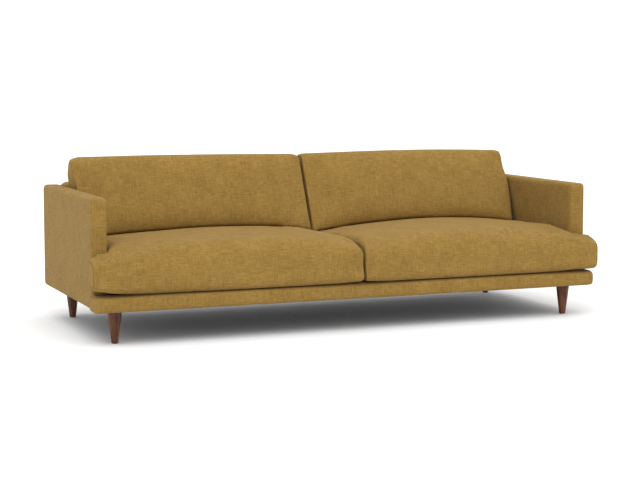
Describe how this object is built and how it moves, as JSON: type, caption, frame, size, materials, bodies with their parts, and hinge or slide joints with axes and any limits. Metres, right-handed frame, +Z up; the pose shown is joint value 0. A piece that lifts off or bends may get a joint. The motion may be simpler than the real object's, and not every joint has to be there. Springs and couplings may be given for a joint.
{
  "type": "sofa",
  "caption": "Long low sofa with slim square arms, loose T-shaped seat cushions, loose back cushions and round tapered wooden legs.",
  "frame": {"origin": "on the floor, midway between the ends, and midway between the seat cushion fronts and the back", "axes": "+Z up, -Y is the front that a sitter faces, +X is to the right as seen from the front"},
  "size_m": [2.482, 1.01, 0.7658],
  "materials": {
    "sofa_cloth": "matte",
    "walnut": "satin",
    "frame_wood": "matte",
    "plywood": "matte",
    "foam": "matte",
    "spring_steel": "satin",
    "zinc_steel": "satin",
    "webbing": "matte",
    "deck_cloth": "matte",
    "dust_cloth": "matte",
    "zip": "matte",
    "glide": "matte"
  },
  "bodies": {
    "frame": {"front_rail": "frame_wood", "rear_rail": "frame_wood", "end_rail_left": "frame_wood", "end_rail_right": "frame_wood", "centre_stretcher": "frame_wood", "spring_rail": "frame_wood", "back_top_rail": "frame_wood", "leg_block_front_left": "frame_wood", "leg_front_left": "walnut", "hanger_bolt_front_left": "zinc_steel", "tee_nut_front_left": "zinc_steel", "glide_front_left": "glide", "leg_block_front_right": "frame_wood", "leg_front_right": "walnut", "hanger_bolt_front_right": "zinc_steel", "tee_nut_front_right": "zinc_steel", "glide_front_right": "glide", "leg_block_rear_left": "frame_wood", "leg_rear_left": "walnut", "hanger_bolt_rear_left": "zinc_steel", "tee_nut_rear_left": "zinc_steel", "glide_rear_left": "glide", "leg_block_rear_right": "frame_wood", "leg_rear_right": "walnut", "hanger_bolt_rear_right": "zinc_steel", "tee_nut_rear_right": "zinc_steel", "glide_rear_right": "glide", "back_upright_left": "plywood", "back_upright_right": "plywood", "back_upright_centre": "plywood", "arm_panel_left": "plywood", "arm_panel_right": "plywood", "seat_springs_left": "spring_steel", "seat_springs_right": "spring_steel", "back_webbing": "webbing", "deck_pad": "foam", "deck_cover": "deck_cloth", "dust_cover": "dust_cloth", "front_rail_pad": "foam", "arm_pad_left": "foam", "arm_pad_right": "foam", "back_pad": "foam", "front_rail_cover": "sofa_cloth", "arm_cover_left": "sofa_cloth", "arm_cover_right": "sofa_cloth", "inside_back_cover": "sofa_cloth", "outside_back_cover": "sofa_cloth"},
    "seat_cushion_left": {"seat_cushion_cover_left": "sofa_cloth", "seat_cushion_core_left": "foam", "seat_cushion_zip_left": "zip"},
    "seat_cushion_right": {"seat_cushion_cover_right": "sofa_cloth", "seat_cushion_core_right": "foam", "seat_cushion_zip_right": "zip"},
    "back_cushion_left": {"back_cushion_cover_left": "sofa_cloth", "back_cushion_core_left": "foam", "back_cushion_zip_left": "zip"},
    "back_cushion_right": {"back_cushion_cover_right": "sofa_cloth", "back_cushion_core_right": "foam", "back_cushion_zip_right": "zip"}
  },
  "joints": [
    {"name": "seat_cushion_left_slide", "type": "slide", "parent": "frame", "child": "seat_cushion_left", "axis": [0, -1, 0], "range_m": [0, 0.35]},
    {"name": "seat_cushion_right_slide", "type": "slide", "parent": "frame", "child": "seat_cushion_right", "axis": [0, -1, 0], "range_m": [0, 0.35]},
    {"name": "back_cushion_left_lift", "type": "slide", "parent": "frame", "child": "back_cushion_left", "axis": [0, 0, 1], "range_m": [0, 0.35]},
    {"name": "back_cushion_right_lift", "type": "slide", "parent": "frame", "child": "back_cushion_right", "axis": [0, 0, 1], "range_m": [0, 0.35]}
  ]
}
